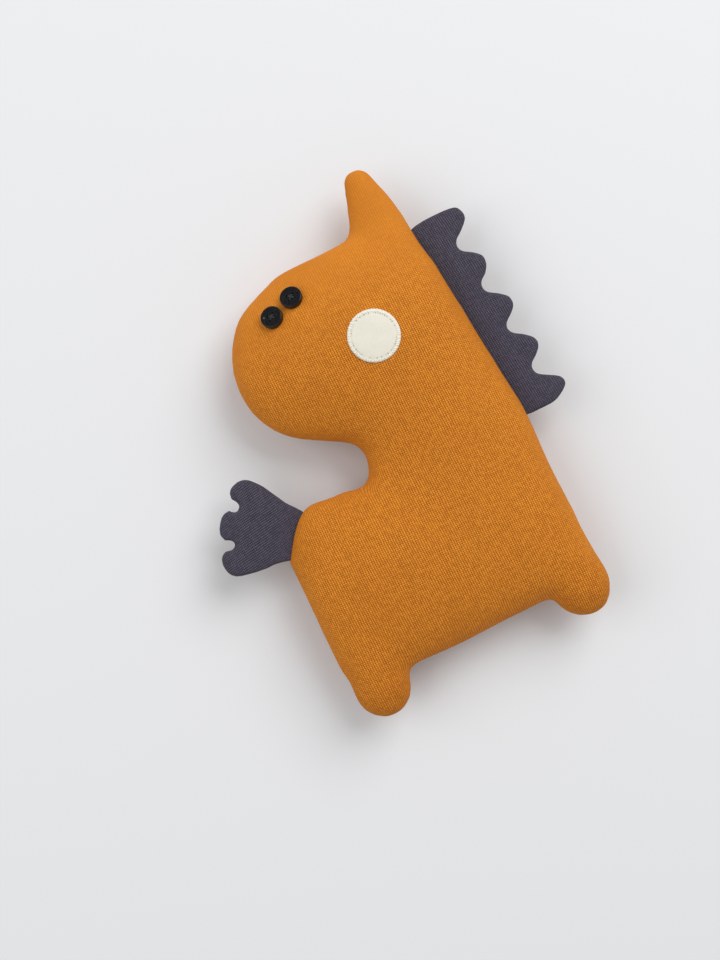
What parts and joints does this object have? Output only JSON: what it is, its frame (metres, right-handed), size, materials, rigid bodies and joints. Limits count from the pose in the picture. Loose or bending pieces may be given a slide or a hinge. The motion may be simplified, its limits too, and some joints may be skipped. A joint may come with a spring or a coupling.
{
  "type": "stuffed dinosaur",
  "caption": "Flat stuffed dinosaur with a long head over a chin notch, short feet, a horn, a scalloped crest, a small lobed paw, button eyes and a felt cheek.",
  "frame": {"origin": "middle of the belly on the flat patch of the plain side, which the toy lies on", "axes": "+X towards the crest, +Y from the feet to the horn, +Z out of the face side"},
  "size_m": [0.1737, 0.228, 0.0415],
  "materials": {
    "body_knit": "matte",
    "dark_knit": "matte",
    "cheek_felt": "matte",
    "filling": "matte",
    "button": "gloss",
    "thread": "satin"
  },
  "bodies": {
    "toy": {"front_panel": "body_knit", "back_panel": "body_knit", "torso_stuffing": "filling", "head_stuffing": "filling", "horn_stuffing": "filling", "front_foot_stuffing": "filling", "rear_foot_stuffing": "filling", "cheek_patch": "cheek_felt"},
    "crest": {"crest_front_panel": "dark_knit", "crest_back_panel": "dark_knit", "crest_wadding": "filling"},
    "paw": {"paw_front_panel": "dark_knit", "paw_back_panel": "dark_knit", "paw_wadding": "filling"},
    "upper_eye": {"upper_eye_button": "button", "upper_eye_thread": "thread"},
    "lower_eye": {"lower_eye_button": "button", "lower_eye_thread": "thread"}
  },
  "joints": [
    {"name": "crest_bend", "type": "hinge", "parent": "toy", "child": "crest", "pos_m": [0.06141, 0.08475, 0.02], "axis": [0.098, -0.9952, 0], "range_deg": [-50, 60], "stiffness_Nm_per_rad": 0.01},
    {"name": "paw_bend", "type": "hinge", "parent": "toy", "child": "paw", "pos_m": [-0.05814, 0.03395, 0.02], "axis": [0.5959, 0.803, 0], "range_deg": [-38, 60], "stiffness_Nm_per_rad": 0.01},
    {"name": "upper_eye_twist", "type": "hinge", "parent": "toy", "child": "upper_eye", "pos_m": [-0.00953, 0.12671, 0.03428], "axis": [-0.0857, 0.3758, 0.9227], "range_deg": [-20, 20], "stiffness_Nm_per_rad": 0.0002},
    {"name": "lower_eye_twist", "type": "hinge", "parent": "toy", "child": "lower_eye", "pos_m": [-0.02085, 0.1226, 0.03419], "axis": [-0.1821, 0.3187, 0.9302], "range_deg": [-20, 20], "stiffness_Nm_per_rad": 0.0002}
  ]
}
